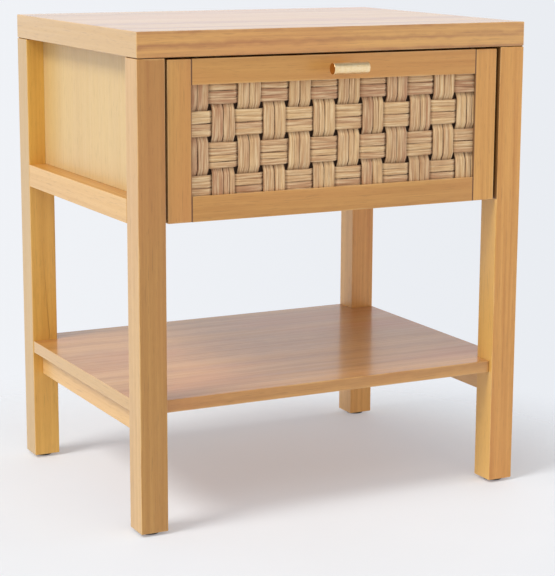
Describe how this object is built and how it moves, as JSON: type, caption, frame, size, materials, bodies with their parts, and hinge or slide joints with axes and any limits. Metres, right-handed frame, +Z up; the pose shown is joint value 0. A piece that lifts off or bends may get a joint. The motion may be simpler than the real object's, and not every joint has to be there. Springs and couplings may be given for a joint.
{
  "type": "nightstand",
  "caption": "Square-legged wooden nightstand with a drawer whose framed front is woven cord, a round metal bar pull and an open lower shelf.",
  "frame": {"origin": "on the floor, under the middle of the whole object's box, pull included", "axes": "+Z up, -Y towards the drawer front, +X to the right of someone facing it"},
  "size_m": [0.559, 0.4626, 0.635],
  "materials": {
    "wood": "clear satin lacquer on honey-toned hardwood",
    "veneer": "clear satin lacquer on honey-toned veneer",
    "inner_wood": "sealed pale hardwood",
    "plywood": "sealed plywood",
    "backing": "dark stained board",
    "cord": "matt natural fibre cord",
    "brass": "polished brass",
    "screw_steel": "zinc plated",
    "slide_steel": "zinc plated",
    "glide": "moulded black nylon"
  },
  "bodies": {
    "case": {"front_left_leg": "wood", "front_right_leg": "wood", "back_left_leg": "wood", "back_right_leg": "wood", "left_side_rail": "wood", "right_side_rail": "wood", "left_shelf_rail": "wood", "right_shelf_rail": "wood", "top_panel": "veneer", "shelf": "veneer", "left_side_panel": "veneer", "right_side_panel": "veneer", "back_panel": "veneer", "front_top_rail": "inner_wood", "back_top_cleat": "inner_wood", "front_left_top_screw": "screw_steel", "front_right_top_screw": "screw_steel", "back_left_top_screw": "screw_steel", "back_right_top_screw": "screw_steel", "left_slide_cabinet": "slide_steel", "right_slide_cabinet": "slide_steel", "front_left_glide": "glide", "front_right_glide": "glide", "back_left_glide": "glide", "back_right_glide": "glide"},
    "drawer": {"drawer_left_stile": "wood", "drawer_right_stile": "wood", "drawer_bottom_rail": "wood", "drawer_top_rail": "wood", "weave_backing": "backing", "woven_upright_1": "cord", "woven_upright_2": "cord", "woven_upright_3": "cord", "woven_upright_4": "cord", "woven_upright_5": "cord", "woven_upright_6": "cord", "woven_upright_7": "cord", "woven_upright_8": "cord", "woven_upright_9": "cord", "woven_upright_10": "cord", "woven_upright_11": "cord", "woven_upright_12": "cord", "woven_band_1": "cord", "woven_band_2": "cord", "woven_band_3": "cord", "woven_band_4": "cord", "drawer_left_side": "inner_wood", "drawer_right_side": "inner_wood", "drawer_box_front": "inner_wood", "drawer_back": "inner_wood", "drawer_bottom": "plywood", "pull_bar": "brass", "pull_post": "brass", "pull_screw": "screw_steel", "left_slide_drawer": "slide_steel", "right_slide_drawer": "slide_steel"},
    "slide_middles": {"left_slide_middle": "slide_steel", "right_slide_middle": "slide_steel"}
  },
  "joints": [
    {"name": "drawer_slide", "type": "slide", "parent": "case", "child": "drawer", "axis": [0, -1, 0], "range_m": [0, 0.3]},
    {"name": "middle_slide", "type": "slide", "parent": "case", "child": "slide_middles", "axis": [0, -1, 0], "range_m": [0, 0.15]}
  ],
  "couplings": [
    {"joint": "middle_slide", "follows": "drawer_slide", "ratio": 0.5}
  ]
}
